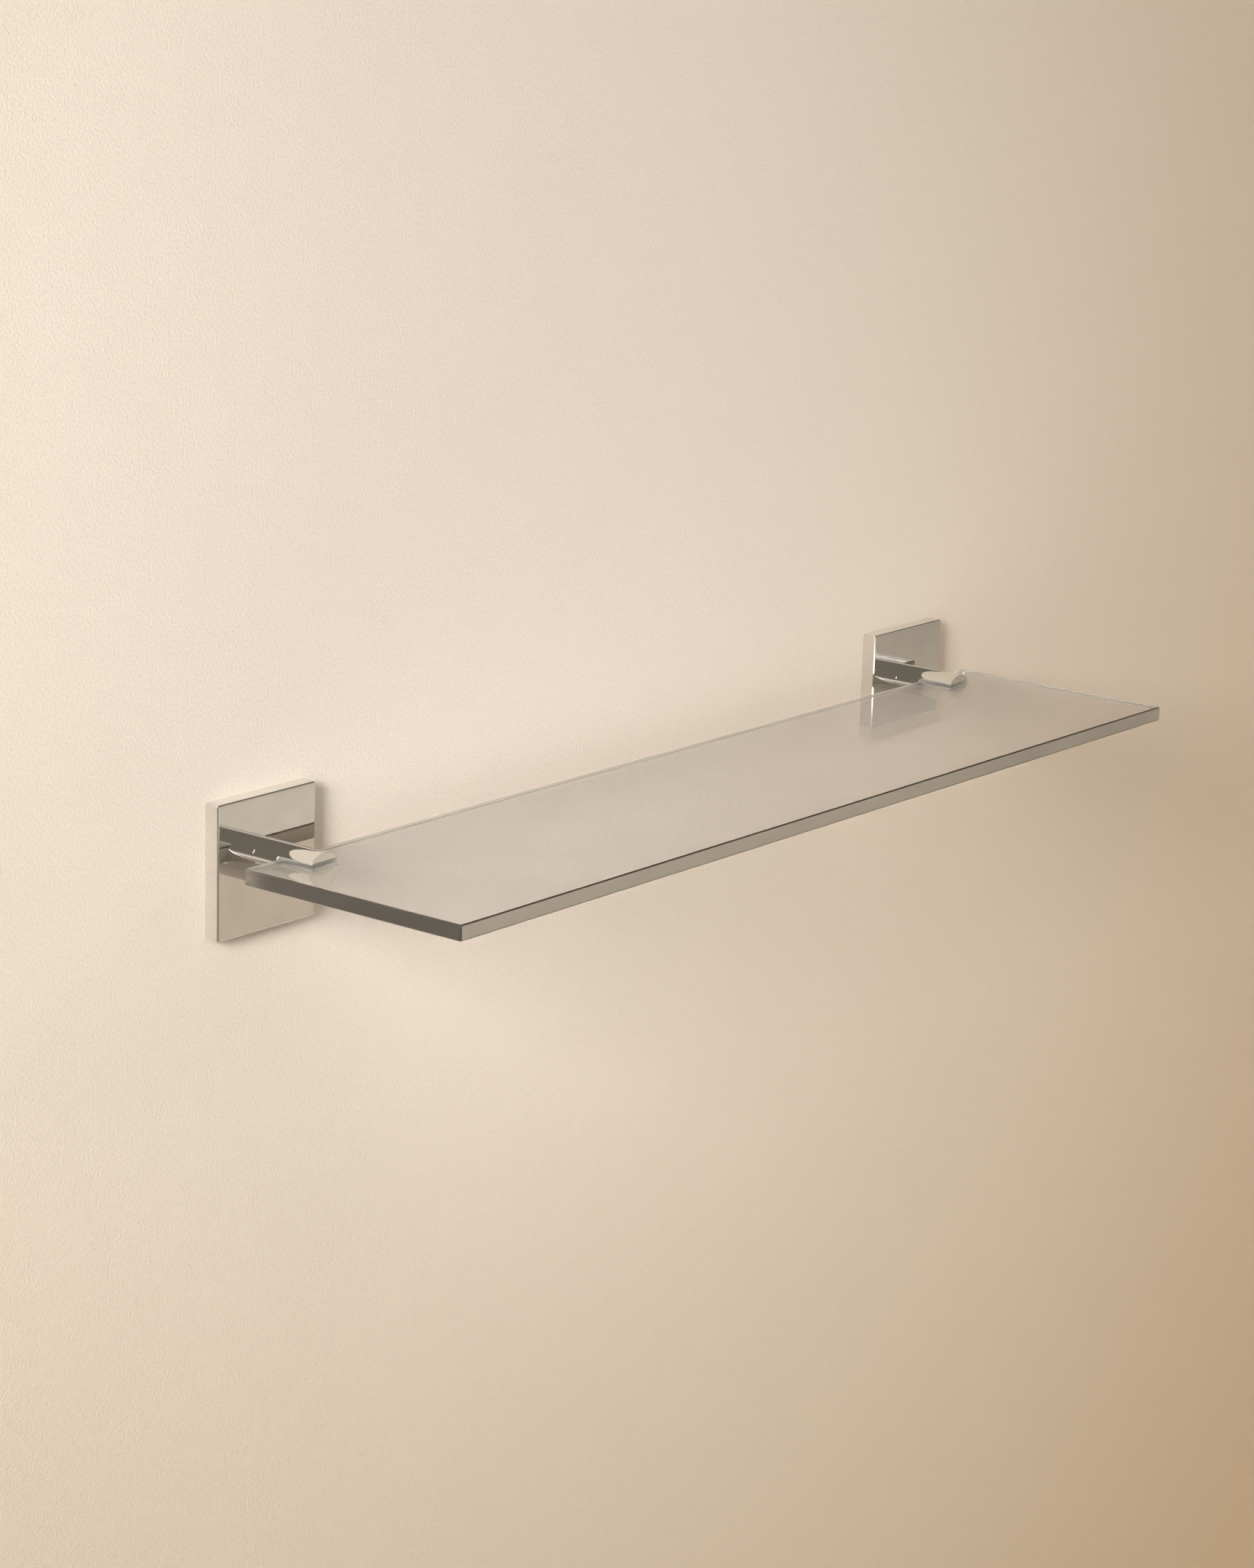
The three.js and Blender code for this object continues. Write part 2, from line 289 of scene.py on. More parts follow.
class Nodes:
    """Short names for the nodes that the materials here are made of."""

    def __init__(self, name):
        self.material = bpy.data.materials.new(name)
        self.material.use_nodes = True
        self.tree = self.material.node_tree
        self.surface = self.tree.nodes["Principled BSDF"]
        self.output = self.tree.nodes["Material Output"]
        self.space = self.tree.nodes.new("ShaderNodeTexCoord").outputs["Object"]

    def link(self, source, target):
        self.tree.links.new(source, target)

    def node(self, kind, **settings):
        made = self.tree.nodes.new("ShaderNode" + kind)
        for key, value in settings.items():
            setattr(made, key, value)
        return made

    def set(self, **values):
        for key, value in values.items():
            self.surface.inputs[key.replace("_", " ")].default_value = value

    def stretched(self, scale):
        mapping = self.node("Mapping")
        mapping.inputs["Scale"].default_value = scale
        self.link(self.space, mapping.inputs["Vector"])
        return mapping.outputs["Vector"]

    def noise(self, scale, detail=3.0, roughness=0.55, stretch=None):
        made = self.node("TexNoise")
        made.inputs["Scale"].default_value = scale
        made.inputs["Detail"].default_value = detail
        made.inputs["Roughness"].default_value = roughness
        self.link(self.stretched(stretch) if stretch else self.space, made.inputs["Vector"])
        return made.outputs["Fac"]

    def between(self, source, low, high, start=0.3, end=0.7):
        """source, from start to end, brought to the range from low to high."""
        made = self.node("MapRange")
        for key, value in (("From Min", start), ("From Max", end), ("To Min", low), ("To Max", high)):
            made.inputs[key].default_value = value
        self.link(source, made.inputs["Value"])
        return made.outputs["Result"]

    def ramp(self, source, *stops):
        made = self.node("ValToRGB")
        ramp = made.color_ramp
        for index, (place, colour) in enumerate(stops):
            stop = ramp.elements[index] if index < 2 else ramp.elements.new(place)
            stop.position = place
            stop.color = (*colour, 1)
        self.link(source, made.inputs["Fac"])
        return made.outputs["Color"]

    def bumps(self, *layers):
        """Bump nodes in a row, from (height, strength, distance in metres)."""
        normal = None
        for height, strength, distance in layers:
            made = self.node("Bump")
            made.inputs["Strength"].default_value = strength
            made.inputs["Distance"].default_value = distance
            self.link(height, made.inputs["Height"])
            if normal:
                self.link(normal, made.inputs["Normal"])
            normal = made.outputs["Normal"]
        self.link(normal, self.surface.inputs["Normal"])


def chrome():
    """Bright plating: nearly a mirror, with a faint haze of wiping and a slow ripple."""
    m = Nodes("polished_chrome")
    m.link(
        m.ramp(m.noise(90, 4), (0.3, (0.79, 0.775, 0.75)), (0.7, (0.85, 0.835, 0.81))),
        m.surface.inputs["Base Color"],
    )
    haze = m.noise(260, 6, 0.6, stretch=(1, 1, 0.25))
    m.link(m.between(haze, 0.03, 0.075), m.surface.inputs["Roughness"])
    m.set(Metallic=1.0)
    m.bumps((m.noise(60, 1), 0.10, 0.00012), (m.noise(2500, 3), 0.05, 0.00001))
    return m.material


def zinc():
    """Zinc-plated pressed steel: grey with a passivated cast of straw and blue."""
    m = Nodes("zinc_steel")
    patches = m.noise(70, 5, 0.6)
    m.link(
        m.ramp(patches, (0.3, (0.40, 0.42, 0.45)), (0.5, (0.52, 0.52, 0.50)), (0.7, (0.58, 0.54, 0.43))),
        m.surface.inputs["Base Color"],
    )
    grain = m.noise(900, 5, 0.65, stretch=(0.06, 1, 1))
    m.link(m.between(grain, 0.26, 0.46), m.surface.inputs["Roughness"])
    m.set(Metallic=1.0)
    m.bumps((grain, 0.25, 0.00003), (m.noise(3200, 2), 0.15, 0.00002))
    return m.material


def stainless():
    """Turned stainless steel with fine tool marks."""
    m = Nodes("stainless_steel")
    m.link(
        m.ramp(m.noise(180, 4), (0.3, (0.46, 0.45, 0.44)), (0.7, (0.60, 0.59, 0.57))),
        m.surface.inputs["Base Color"],
    )
    marks = m.noise(4200, 2, stretch=(1, 1, 0.3))
    m.link(m.between(marks, 0.18, 0.34), m.surface.inputs["Roughness"])
    m.set(Metallic=1.0)
    m.bumps((marks, 0.2, 0.00002))
    return m.material


def nylon():
    """Moulded grey nylon with a matt spark finish."""
    m = Nodes("grey_nylon")
    m.link(
        m.ramp(m.noise(120, 5), (0.3, (0.42, 0.41, 0.38)), (0.7, (0.55, 0.53, 0.49))),
        m.surface.inputs["Base Color"],
    )
    spark = m.noise(2600, 4, 0.7)
    m.link(m.between(spark, 0.42, 0.62), m.surface.inputs["Roughness"])
    m.set(Subsurface_Weight=0.15, Subsurface_Scale=0.001)
    m.bumps((spark, 0.35, 0.00005))
    return m.material


def through_for_lamps(m, tint):
    """Lets lamps shine through a clear shader, so that it doesn't cast a solid shadow."""
    mix = m.node("MixShader")
    clear = m.node("BsdfTransparent")
    clear.inputs["Color"].default_value = (*tint, 1)
    path = m.node("LightPath")
    m.link(path.outputs["Is Shadow Ray"], mix.inputs["Fac"])
    m.link(m.surface.outputs["BSDF"], mix.inputs[1])
    m.link(clear.outputs["BSDF"], mix.inputs[2])
    m.link(mix.outputs["Shader"], m.output.inputs["Surface"])


def glass(name, shade, smoothest, roughest, clarity=1.0):
    """Glass with a grey cast that deepens where light runs along it. A ground edge has less clarity."""
    m = Nodes(name)
    m.set(Transmission_Weight=clarity, IOR=1.5)
    m.link(
        m.ramp(m.noise(35, 3), (0.3, [0.95 * part for part in shade]), (0.7, shade)),
        m.surface.inputs["Base Color"],
    )
    wiped = m.noise(160, 6, 0.65)
    m.link(m.between(wiped, smoothest, roughest, 0.4, 0.7), m.surface.inputs["Roughness"])
    m.bumps((m.noise(14, 1), 0.05, 0.0001), (m.noise(1500, 3), 0.06, 0.00002))
    through_for_lamps(m, (0.80, 0.79, 0.77))
    depth = m.node("VolumeAbsorption")
    depth.inputs["Color"].default_value = (0.62, 0.61, 0.56, 1)
    depth.inputs["Density"].default_value = 8.0
    m.link(depth.outputs["Volume"], m.output.inputs["Volume"])
    return m.material


def vinyl():
    """Soft clear vinyl strip, slightly clouded."""
    m = Nodes("clear_vinyl")
    m.set(Transmission_Weight=0.55, IOR=1.46)
    m.link(
        m.ramp(m.noise(240, 4), (0.3, (0.50, 0.48, 0.44)), (0.7, (0.62, 0.60, 0.55))),
        m.surface.inputs["Base Color"],
    )
    cloud = m.noise(1400, 4, 0.6)
    m.link(m.between(cloud, 0.25, 0.42), m.surface.inputs["Roughness"])
    m.bumps((cloud, 0.2, 0.00004))
    through_for_lamps(m, (0.6, 0.58, 0.54))
    return m.material


def painted_wall():
    """Beige emulsion with a roller's fine stipple, and painted shade that deepens its colour away from its
    lit middle.

    It has only a front: from behind, the shelf shows through it."""
    m = Nodes("wall_paint")
    stipple = m.noise(900, 4, 0.6)
    paint = m.ramp(stipple, (0.3, (0.815, 0.745, 0.665)), (0.7, (0.885, 0.815, 0.735)))
    # Painted shade: the paint's colour darkens with distance from the wall's lit middle, in place of light
    # falling off across the wall.
    reach = m.node("VectorMath", operation="DISTANCE")
    m.link(m.space, reach.inputs[0])
    reach.inputs[1].default_value = WALL_LIT_MIDDLE
    away = m.between(reach.outputs["Value"], 0, 1, *WALL_PAINTED_SHADE_RANGE)
    painted_shade = m.node("Mix", data_type="RGBA", blend_type="MULTIPLY")
    painted_shade.inputs["Factor"].default_value = 1.0
    m.link(paint, painted_shade.inputs["A"])
    m.link(m.ramp(away, (0, (1, 1, 1)), (1, (0.79, 0.665, 0.52))), painted_shade.inputs["B"])
    m.link(painted_shade.outputs["Result"], m.surface.inputs["Base Color"])
    m.link(m.between(stipple, 0.62, 0.8), m.surface.inputs["Roughness"])
    m.set(Specular_IOR_Level=0.25)
    m.bumps((m.noise(9, 3), 0.15, 0.004), (stipple, 0.5, 0.0008))
    mix = m.node("MixShader")
    m.link(m.node("NewGeometry").outputs["Backfacing"], mix.inputs["Fac"])
    m.link(m.surface.outputs["BSDF"], mix.inputs[1])
    m.link(m.node("BsdfTransparent").outputs["BSDF"], mix.inputs[2])
    m.link(mix.outputs["Shader"], m.output.inputs["Surface"])
    return m.material


def pale_floor():
    """Pale matt floor paint."""
    m = Nodes("floor_paint")
    m.link(
        m.ramp(m.noise(1.1, 5), (0.3, (0.60, 0.57, 0.53)), (0.7, (0.66, 0.63, 0.59))),
        m.surface.inputs["Base Color"],
    )
    m.link(m.between(m.noise(60, 4), 0.5, 0.65), m.surface.inputs["Roughness"])
    m.bumps((m.noise(220, 4), 0.1, 0.0008))
    return m.material


CHROME, ZINC, STAINLESS, NYLON, VINYL = chrome(), zinc(), stainless(), nylon(), vinyl()
GLASS = glass("float_glass", (0.83, 0.84, 0.86), 0.0, 0.03)
GROUND_GLASS = glass("ground_glass", (0.74, 0.68, 0.59), 0.3, 0.42, clarity=0.55)
# Painted shade: the ends and arrises take a darker copy of the ground glass. Their clearer finish also lets
# the real darkness down the glass's length show.
SHADED_END_GLASS = glass("ground_glass_painted_shade", (0.60, 0.54, 0.46), 0.3, 0.42, clarity=0.93)

# ---- the glass ----


def box_mm(node, x=0.0):
    """A CAD node's lowest and highest corner in millimetres, about the bracket at x."""
    low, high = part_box(node)
    shift = Vector((x, 0, 0))
    return (low - shift) / MM, (high - shift) / MM


def glass_panel():
    """The shelf itself. Its ground long edges take a lighter material than its two ends and its arrises,
    which take a copy of the ground glass with painted shade.
    """
    low, high = box_mm("glass_panel")
    size, middle = high - low, (low + high) / 2
    a = GLASS_ARRIS
    edge = filleted(
        [(3 * a, low.z), (a, low.z), (0, low.z + a), (0, high.z - a), (a, high.z), (3 * a, high.z)], 0.14, 3
    )
    rings = [
        [on_z(p + middle.xy, z) for p in rounded_rectangle(size.x, size.y, GLASS_CORNER, inset)]
        for inset, z in edge
    ]
    panel = lofted("glass_shelf", rings)
    looks = (GLASS, GROUND_GLASS, SHADED_END_GLASS)
    finish_piece(panel, 0, "glass", "clear_glass", "glass_panel", *looks)
    # The ends and the arrises get the copy with painted shade.
    for face in panel.data.polygons:
        if abs(face.normal.z) < 0.99:
            edge_look = GROUND_GLASS if abs(face.normal.y) > 0.9 else SHADED_END_GLASS
            face.material_index = looks.index(edge_look)


# ---- the pieces of a bracket ----


def screw_clearance(node, x):
    """The radius of the hole for an upright screw, and the y of its axis."""
    low, high = box_mm(node, x)
    return (high.x - low.x) / 2 + FIT_GAP, (low.y + high.y) / 2


def chamfered_hole(radius, mouth, end, chamfer, sides, y):
    """A tool that cuts a round hole up from the level mouth to the level end, at y."""
    profile = [
        (0, mouth - OVERCUT),
        (radius + OVERCUT + chamfer, mouth - OVERCUT),
        (radius, mouth + chamfer),
        (radius, end),
        (0, end),
    ]
    return turned("tool", profile, sides, on_z, (0, y))


def cover_plate(side, x):
    """A square hollow cap, open to the wall, with the tenon's hole in its face and the grub screw's below."""
    low, high = box_mm(f"{side}_cover_plate", x)
    cavity_floor = box_mm(f"{side}_arm_washer", x)[0].y
    cavity_half = box_mm(f"{side}_backing_plate", x)[1].z + FIT_GAP
    width = high.x - low.x
    rim = width / 2 - cavity_half
    section = filleted(
        [
            (2 * rim, cavity_floor),
            (rim, cavity_floor),
            (rim, high.y),
            (0, high.y),
            (0, low.y + COVER_BEVEL),
            (COVER_BEVEL, low.y),
            (3 * COVER_BEVEL, low.y),
        ],
        [0, 0.3, 0.12, 0.12, 0.3, 0.3, 0],
    )
    rings = [
        [on_y(p, y) for p in rounded_rectangle(width, width, COVER_CORNER, inset)] for inset, y in section
    ]
    cover = lofted(f"{side}_cover", rings)
    opening = rounded_rectangle(TENON_SIDE + 2 * FIT_GAP, TENON_SIDE + 2 * FIT_GAP, 0.2)
    tenon_hole = prism("tool", opening, low.y - OVERCUT, cavity_floor + OVERCUT, on_y)
    hole, grub_y = screw_clearance(f"{side}_cover_grub_screw", x)
    grub_hole = chamfered_hole(hole, low.z, low.z + rim + OVERCUT, GRUB_HOLE_CHAMFER, 40, grub_y)
    cut(cover, tenon_hole, grub_hole)
    finish_piece(cover, x, "brackets", "polished_chrome", f"{side}_cover_plate", CHROME)


def arm_outline(slot_low, slot_high, radius):
    """Angles round the arm, and the kind of stretch that each begins: a jaw, or a side of the slot."""
    jaw_top, jaw_bottom = math.asin(slot_high / radius), math.asin(slot_low / radius)
    spans = [
        (jaw_top, math.pi - jaw_top, 60, "upper"),
        (math.pi - jaw_top, math.pi - jaw_bottom, 32, "slot"),
        (math.pi - jaw_bottom, 2 * math.pi + jaw_bottom, 90, "lower"),
        (2 * math.pi + jaw_bottom, 2 * math.pi + jaw_top, 32, "slot"),
    ]
    outline = []
    for start, end, count, kind in spans:
        outline += [(start + (end - start) * step / count, kind) for step in range(count)]
    return zip(*outline)


def add_tenon(bm, back, root_y, end_y):
    """Closes the arm's round back ring with a square tenon."""
    half = TENON_SIDE / 2
    corners = [(half, half), (-half, half), (-half, -half), (half, -half)]
    root = [bm.verts.new(on_y(c, root_y)) for c in corners]
    end = [bm.verts.new(on_y(c, end_y)) for c in corners]
    nearest = [min(range(len(back)), key=lambda k, c=c: (Vector(c) - back[k].co.xz).length) for c in corners]
    for q in range(4):
        following = (q + 1) % 4
        run = [nearest[q]]
        while run[-1] != nearest[following]:
            run.append((run[-1] + 1) % len(back))
        bm.faces.new([back[k] for k in run] + [root[following], root[q]])
        bm.faces.new((root[q], root[following], end[following], end[q]))
    bm.faces.new(end)


def slotted_bar(name, radius, slot_low, slot_high, tip_y, slot_back, root_y, end_y):
    """A closed bar from its two jaws, through the slot's back, to its tenon."""
    angles, kinds = arm_outline(slot_low, slot_high, radius)
    total = len(angles)
    bm = bmesh.new()

    def point(k, y):
        return bm.verts.new((radius * math.cos(angles[k]), y, radius * math.sin(angles[k])))

    back = [point(k, root_y) for k in range(total)]
    middle = [point(k, slot_back) for k in range(total)]
    tip = {}
    for kind in ("upper", "lower"):
        for k in range(total):
            if kind in (kinds[k], kinds[k - 1]):
                tip[kind, k] = point(k, tip_y)
    for k in range(total):
        after = (k + 1) % total
        bm.faces.new((back[k], back[after], middle[after], middle[k]))
        if kinds[k] != "slot":
            bm.faces.new((middle[k], middle[after], tip[kinds[k], after], tip[kinds[k], k]))
    for kind in ("upper", "lower"):
        members = [k for k in range(total) if kinds[k] == kind]
        first, last = members[0], (members[-1] + 1) % total
        bm.faces.new([tip[kind, k] for k in members + [last]])
        bm.faces.new((middle[first], tip[kind, first], tip[kind, last], middle[last]))
    left_side = [k for k in range(total) if kinds[k] == "slot" and k < total / 2]
    right_side = [k for k in range(total) if kinds[k] == "slot" and k > total / 2]
    bm.faces.new([middle[k] for k in (*left_side, left_side[-1] + 1, *right_side, 0)])
    add_tenon(bm, back, root_y, end_y)
    return new_piece(name, bm)


def arm(side, x):
    """A round bar slotted across its tip, with a square tenon behind."""
    low, high = box_mm(f"{side}_arm", x)
    slot_low, slot_high = box_mm(f"{side}_glass_liner", x)
    radius = (high.x - low.x) / 2
    face = box_mm(f"{side}_cover_plate", x)[0].y
    bar = slotted_bar(f"{side}_post", radius, slot_low.z, slot_high.z, low.y, slot_high.y, face, high.y)
    soften(bar, ARM_EDGE, 3, 50)
    hole, screw_y = screw_clearance(f"{side}_clamp_screw", x)
    clamp_hole = chamfered_hole(hole, -radius, slot_low.z + OVERCUT, CLAMP_HOLE_CHAMFER, 48, screw_y)
    bolt_tip = box_mm(f"{side}_arm_screw", x)[0].y
    bore_radius = ARM_SCREW_RADIUS + FIT_GAP
    bore = turned(
        "tool",
        [
            (0, bolt_tip - 1),
            (bore_radius, bolt_tip - 0.4),
            (bore_radius, high.y + OVERCUT),
            (0, high.y + OVERCUT),
        ],
        40,
    )
    cut(bar, clamp_hole, bore)
    finish_piece(bar, x, "brackets", "polished_chrome", f"{side}_arm", CHROME)


def glass_liner(side, x):
    """A clear strip folded round the glass's back edge."""
    low, high = box_mm(f"{side}_glass_liner", x)
    t = LINER_THICKNESS
    section = [
        (low.y, low.z),
        (high.y, low.z),
        (high.y, high.z),
        (low.y, high.z),
        (low.y, high.z - t),
        (high.y - t, high.z - t),
        (high.y - t, low.z + t),
        (low.y, low.z + t),
    ]
    strip = prism(f"{side}_liner", section, low.x, high.x, on_x)
    soften(strip, LINER_EDGE, 3)
    finish_piece(strip, x, "brackets", "clear_vinyl", f"{side}_glass_liner", VINYL)


def backing_plate(side, x):
    """A pressed channel with two slots for the wall screws and a round window for the arm's screw."""
    low, high = box_mm(f"{side}_backing_plate", x)
    web, flange = -BACKING_THICKNESS, BACKING_FLANGE
    section = filleted(
        [
            (0.5 * low.y, high.z),
            (high.y, high.z),
            (high.y, low.z),
            (low.y, low.z),
            (low.y, low.z + flange),
            (web, low.z + flange),
            (web, high.z - flange),
            (low.y, high.z - flange),
            (low.y, high.z),
            (0.5 * low.y, high.z),
        ],
        [0, 0.9, 0.9, 0.3, 0.3, 0.5, 0.5, 0.3, 0.3, 0],
    )[:-1]
    plate = prism(f"{side}_backing", section, low.x, high.x, on_x)
    window = circle(BACKING_WINDOW_RADIUS, 64)
    slot = rounded_rectangle(WALL_SLOT_LENGTH, WALL_SLOT_WIDTH, WALL_SLOT_WIDTH / 2, steps=10)
    lower_slot = [p - Vector((0, WALL_SCREW_HEIGHT)) for p in slot]
    upper_slot = [p + Vector((0, WALL_SCREW_HEIGHT)) for p in slot]
    cut(plate, *[
        prism("tool", outline, web - OVERCUT, high.y + OVERCUT, on_y)
        for outline in (window, lower_slot, upper_slot)
    ])
    finish_piece(plate, x, "brackets", "zinc_steel", f"{side}_backing_plate", ZINC)


def cross_tool(width, surface, depth, toward):
    """A tapered cross to cut a driving recess from the plane y = surface, deepening toward +1 or -1."""
    rings = []
    for scale, down in ((1.12, -0.5), (1.0, 0), (0.55, 0.8 * depth), (0.12, depth)):
        half, reach = width / 2 * scale, 1.75 * width * scale
        quarter = [(reach, half), (half, half), (half, reach)]
        outline = []
        for _ in range(4):
            outline += quarter
            quarter = [(-b, a) for a, b in quarter]
        rings.append([on_y(p, surface + down * toward) for p in outline])
    return lofted("tool", rings)


def threaded(name, before, thread, after, sides, place=on_y, centre=(0, 0)):
    """A turned body with a helical thread between two plain profiles of (radius, along).

    thread is (start, end, root radius, crest radius, pitch, the ridge's share of the pitch)."""
    start, end, root, crest, pitch, ridge = thread
    middle = Vector(centre)
    steps = round((end - start) / pitch * THREAD_STEPS_PER_TURN)
    rings = []
    for step in range(steps + 1):
        along = start + (end - start) * step / steps
        run_in, run_out = step / THREAD_STEPS_PER_TURN, (steps - step) / THREAD_STEPS_PER_TURN
        fade = smooth_step(run_in) * smooth_step(run_out)
        ring = []
        for k, p in enumerate(circle(1, sides)):
            phase = (along / pitch - k / sides) % 1.0
            height = smooth_step(1 - abs(2 * phase - 1) / ridge) * fade
            ring.append(place(middle + p * (root + (crest - root) * height), along))
        rings.append(ring)
    plain_before = round_rings(before, sides, place, centre)
    plain_after = round_rings(after, sides, place, centre)
    return lofted(name, plain_before + rings + plain_after)


def arm_screw(side, x):
    """A domed machine screw from behind the cover into the arm."""
    low, high = box_mm(f"{side}_arm_screw", x)
    seat = box_mm(f"{side}_arm_washer", x)[1].y
    head = (high.x - low.x) / 2
    shank = ARM_SCREW_RADIUS
    dome = filleted(
        [(head, seat), (head, high.y - 0.9), (0.72 * head, high.y), (0.3 * head, high.y)], [0, 0.5, 0.8, 0]
    )
    body = threaded(
        f"{side}_arm_bolt",
        [(0, low.y), (0.62 * shank, low.y)],
        (low.y + 0.5, seat - 0.4, 0.82 * shank, shank, ARM_SCREW_PITCH, MACHINE_RIDGE),
        [(0.82 * shank, seat), (0.97 * head, seat), *dome, (0, high.y)],
        36,
    )
    cut(body, cross_tool(1.1, high.y, 1.5, -1))
    finish_piece(body, x, "brackets", "zinc_steel", f"{side}_arm_screw", ZINC)


def arm_washer(side, x):
    """A split spring washer, its two ends slightly sprung apart."""
    low, high = box_mm(f"{side}_arm_washer", x)
    outer, inner = (high.z - low.z) / 2, ARM_SCREW_RADIUS + FIT_GAP
    thickness = high.y - low.y - WASHER_RISE
    across = rounded_rectangle(outer - inner, thickness, 0.16, steps=3)
    steps = 90
    rings = []
    for step in range(steps + 1):
        share = step / steps
        angle = WASHER_HALF_GAP + 2 * (math.pi - WASHER_HALF_GAP) * share
        out = Vector((math.cos(angle), math.sin(angle)))
        y = low.y + WASHER_RISE * share + thickness / 2
        rings.append([on_y(out * (p.x + (outer + inner) / 2), y + p.y) for p in across])
    washer = lofted(f"{side}_spring_washer", rings)
    finish_piece(washer, x, "brackets", "zinc_steel", f"{side}_arm_washer", ZINC)


def socket_screw(side, x, node, name):
    """A headless screw along Z, with a hexagon socket in its lower end."""
    low, high = box_mm(f"{side}_{node}", x)
    radius, length = (high.x - low.x) / 2, high.z - low.z
    y = (low.y + high.y) / 2
    rim = 0.82 * radius
    body = threaded(
        f"{side}_{name}",
        [(0, low.z), (rim - 0.15, low.z), (rim, low.z + 0.15)],
        (low.z + 0.3, high.z - 0.5 * radius, rim, radius, 0.36 * radius, MACHINE_RIDGE),
        [(0.5 * radius, high.z), (0, high.z)],
        36,
        on_z,
        (0, y),
    )
    key = 0.55 * radius
    bottom = low.z + 0.45 * length
    socket = turned(
        "tool",
        [(1.35 * key, low.z - 0.35), (key, low.z + 0.12), (key, bottom), (0, bottom + 0.3 * radius)],
        6,
        on_z,
        (0, y),
    )
    cut(body, socket)
    finish_piece(body, x, "brackets", "stainless_steel", f"{side}_{node}", STAINLESS)


def wall_screw(side, x, level, z):
    """A domed wood screw: head, plain neck, coarse thread and tapered point."""
    low, high = box_mm(f"{side}_wall_screw_{level}", x)
    seat = -BACKING_THICKNESS
    head = (high.x - low.x) / 2
    crest, neck, root = WALL_SCREW_RADIUS, 0.97 * WALL_SCREW_RADIUS, 0.7 * WALL_SCREW_RADIUS
    thread_start, thread_end = seat + WALL_SCREW_NECK, high.y - WALL_SCREW_POINT
    dome = filleted(
        [(0.2 * head, low.y), (0.62 * head, low.y), (head, seat - 0.8), (head, seat)], [0, 0.9, 0.4, 0]
    )
    body = threaded(
        f"{side}_wall_screw_{level}_piece",
        [(0, low.y), *dome, (neck, seat + 0.01), (neck, thread_start - 1.0)],
        (thread_start, thread_end, root, crest, WALL_SCREW_PITCH, WOOD_RIDGE),
        [
            (root, thread_end + 0.2),
            (0.6 * root, high.y - 0.4 * WALL_SCREW_POINT),
            (0.22 * root, high.y - 0.3),
            (0, high.y),
        ],
        28,
        on_y,
        (0, z),
    )
    tool = cross_tool(0.95, low.y, 1.25, 1)
    tool.data.transform(Matrix.Translation((0, 0, z)))
    cut(body, tool)
    finish_piece(body, x, "brackets", "zinc_steel", f"{side}_wall_screw_{level}", ZINC)


def wall_plug(side, x, level, z):
    """A ribbed plug, split from behind its collar to its nose."""
    low, high = box_mm(f"{side}_wall_plug_{level}", x)
    radius, mouth, end = (high.z - low.z) / 2, low.y, high.y
    bore_radius = WALL_SCREW_RADIUS + FIT_GAP
    collar, pitch, ribs = 3.0, 3.4, 6
    line = [(radius - 0.3, mouth), (radius, mouth + 0.3), (radius, mouth + collar - 0.6)]
    for rib in range(ribs):
        y = mouth + collar + rib * pitch
        line += [(radius - 0.6, y), (radius - 0.05, y + 0.72 * pitch), (radius - 0.05, y + 0.84 * pitch)]
    line += [(radius - 0.6, mouth + collar + ribs * pitch), (0.74 * radius, end - 0.5), (0.68 * radius, end)]
    body = turned(f"{side}_wall_plug_{level}_piece", [(0, mouth), *filleted(line, 0.2, 3), (0, end)], 40)
    bore = prism("tool", circle(bore_radius, 36), mouth - OVERCUT, end + OVERCUT, on_y)
    half, reach = PLUG_SPLIT / 2, radius + 2 * OVERCUT
    slit = [(half, reach), (-half, reach), (-half, -reach), (half, -reach)]
    split = prism("tool", slit, mouth + 2 * collar, end + OVERCUT, on_y)
    cut(body, bore, split)
    body.data.transform(Matrix.Translation((0, 0, z)))
    finish_piece(body, x, "brackets", "grey_nylon", f"{side}_wall_plug_{level}", NYLON)


glass_panel()
for side in ("left", "right"):
    cover_low, cover_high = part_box(f"{side}_cover_plate")
    middle = (cover_low.x + cover_high.x) / 2
    cover_plate(side, middle)
    arm(side, middle)
    glass_liner(side, middle)
    backing_plate(side, middle)
    arm_screw(side, middle)
    arm_washer(side, middle)
    socket_screw(side, middle, "clamp_screw", "clamp_set_screw")
    socket_screw(side, middle, "cover_grub_screw", "cover_set_screw")
    for level, height in (("upper", WALL_SCREW_HEIGHT), ("lower", -WALL_SCREW_HEIGHT)):
        wall_screw(side, middle, level, height)
        wall_plug(side, middle, level, height)

# ---- studio ----


def flat_sheet(name, across, up, place, level, material, open_cells=()):
    """A flat grid on the lines across and up, in metres, that leaves out the cells in open_cells."""
    bm = bmesh.new()
    corners = [[bm.verts.new(place((a, u), level)) for u in up] for a in across]
    for i in range(len(across) - 1):
        for j in range(len(up) - 1):
            if (i, j) not in open_cells:
                bm.faces.new((corners[i][j], corners[i + 1][j], corners[i + 1][j + 1], corners[i][j + 1]))
    mesh = bpy.data.meshes.new(name)
    bm.to_mesh(mesh)
    bm.free()
    mesh.materials.append(material)
    sheet = bpy.data.objects.new(name, mesh)
    bpy.context.scene.collection.objects.link(sheet)


def wall():
    """The wall is left open behind the cover plates, so that their hidden sides are lit from behind."""
    lines = [-WALL_HALF]
    for side in ("left", "right"):
        low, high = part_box(f"{side}_cover_plate")
        lines += [low.x + HIDDEN_RIM, high.x - HIDDEN_RIM]
    across = [*lines, WALL_HALF]
    up = (FLOOR_LEVEL, low.z + HIDDEN_RIM, high.z - HIDDEN_RIM, WALL_TOP)
    flat_sheet("wall", across, up, on_y, 0, painted_wall(), open_cells=((1, 1), (3, 1)))


def floor():
    lines = (-FLOOR_HALF, FLOOR_HALF)
    flat_sheet("floor", lines, lines, on_z, FLOOR_LEVEL, pale_floor())


